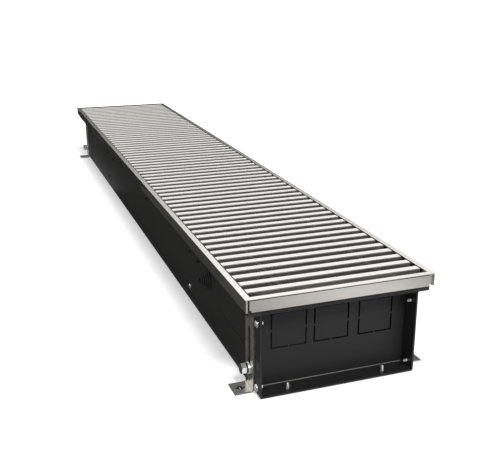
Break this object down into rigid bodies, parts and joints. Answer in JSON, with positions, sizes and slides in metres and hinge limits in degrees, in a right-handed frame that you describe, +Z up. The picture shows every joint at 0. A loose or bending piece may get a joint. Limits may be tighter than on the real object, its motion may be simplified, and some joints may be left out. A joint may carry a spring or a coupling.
{
  "type": "trench convector heater",
  "caption": "Long floor-recessed convector: black sheet trough, mitred aluminium edge frame, roll-up bar grille, finned exchanger with valves, sliding levelling feet.",
  "frame": {"origin": "on the floor, under the middle of the heater", "axes": "+X across the width, +Y along the length away from the connection end, +Z up"},
  "size_m": [0.27, 1.5, 0.14],
  "materials": {
    "powder_coat": "matte black powder coat with a fine texture",
    "anodised_frame": "natural satin anodised",
    "anodised_bar": "natural satin anodised, light",
    "black_key": "black",
    "rivet": "plain",
    "pad_rubber": "matte",
    "spring_steel": "drawn wire",
    "spacer_plastic": "moulded black",
    "zinc_sheet": "galvanised",
    "zinc_fastener": "bright zinc plated",
    "grommet_rubber": "moulded black",
    "fin_aluminium": "mill finish",
    "copper_tube": "drawn copper",
    "painted_bracket": "black powder coat",
    "nickel_brass": "nickel plated",
    "white_cap": "moulded white",
    "seal_rubber": "flat seal"
  },
  "bodies": {
    "trough": {"trough_body": "powder_coat", "end_plate_near": "powder_coat", "end_plate_far": "powder_coat", "frame_left": "anodised_frame", "frame_right": "anodised_frame", "frame_near": "anodised_frame", "frame_far": "anodised_frame", "frame_corner_keys": "black_key", "frame_rivets": "rivet", "grille_pad_left": "pad_rubber", "grille_pad_right": "pad_rubber", "foot_bolts": "zinc_fastener", "foot_washers": "zinc_fastener", "foot_rings": "pad_rubber", "foot_nuts": "zinc_fastener", "end_plate_screws": "zinc_fastener", "end_floor_screws": "zinc_fastener", "cable_grommet": "grommet_rubber", "exchanger_fins": "fin_aluminium", "exchanger_tubes": "copper_tube", "return_bends": "copper_tube", "cradle_near_bracket": "painted_bracket", "cradle_far_bracket": "painted_bracket", "cradle_screws": "zinc_fastener", "cross_brace_1": "painted_bracket", "cross_brace_2": "painted_bracket", "cross_brace_3": "painted_bracket", "cross_brace_4": "painted_bracket", "brace_screws": "zinc_fastener", "air_baffle": "painted_bracket", "baffle_screws": "zinc_fastener", "supply_valve_body": "nickel_brass", "return_valve_body": "nickel_brass", "valve_seals": "seal_rubber", "union_nuts": "nickel_brass", "tube_tails": "nickel_brass", "bleed_valve_body": "nickel_brass"},
    "grille": {"grille_bars": "anodised_bar", "grille_springs": "spring_steel", "grille_spacers": "spacer_plastic"},
    "foot_near_left": {"foot_near_left": "zinc_sheet"},
    "foot_near_right": {"foot_near_right": "zinc_sheet"},
    "foot_far_left": {"foot_far_left": "zinc_sheet"},
    "foot_far_right": {"foot_far_right": "zinc_sheet"},
    "supply_hand_cap": {"supply_hand_cap": "white_cap"},
    "return_lockshield_cap": {"return_lockshield_cap": "white_cap"},
    "bleed_screw": {"bleed_screw": "nickel_brass"}
  },
  "joints": [
    {"name": "grille_lift_out", "type": "slide", "parent": "trough", "child": "grille", "axis": [0, 0, 1], "range_m": [0, 0.12]},
    {"name": "foot_near_left_travel", "type": "slide", "parent": "trough", "child": "foot_near_left", "axis": [0, 0, -1], "range_m": [0, 0.054]},
    {"name": "foot_near_right_travel", "type": "slide", "parent": "trough", "child": "foot_near_right", "axis": [0, 0, -1], "range_m": [0, 0.054]},
    {"name": "foot_far_left_travel", "type": "slide", "parent": "trough", "child": "foot_far_left", "axis": [0, 0, -1], "range_m": [0, 0.054]},
    {"name": "foot_far_right_travel", "type": "slide", "parent": "trough", "child": "foot_far_right", "axis": [0, 0, -1], "range_m": [0, 0.054]},
    {"name": "supply_cap_turn", "type": "hinge", "parent": "trough", "child": "supply_hand_cap", "pos_m": [-0.001, -0.5948, 0.085], "axis": [0, 0, 1], "range_deg": [0, 360]},
    {"name": "lockshield_cap_turn", "type": "hinge", "parent": "trough", "child": "return_lockshield_cap", "pos_m": [0.0625, -0.5948, 0.085], "axis": [0, 0, 1], "range_deg": [0, 360]},
    {"name": "bleed_screw_turn", "type": "hinge", "parent": "trough", "child": "bleed_screw", "pos_m": [0.0625, -0.498, 0.0835], "axis": [0, 0, 1], "range_deg": [0, 360]}
  ]
}
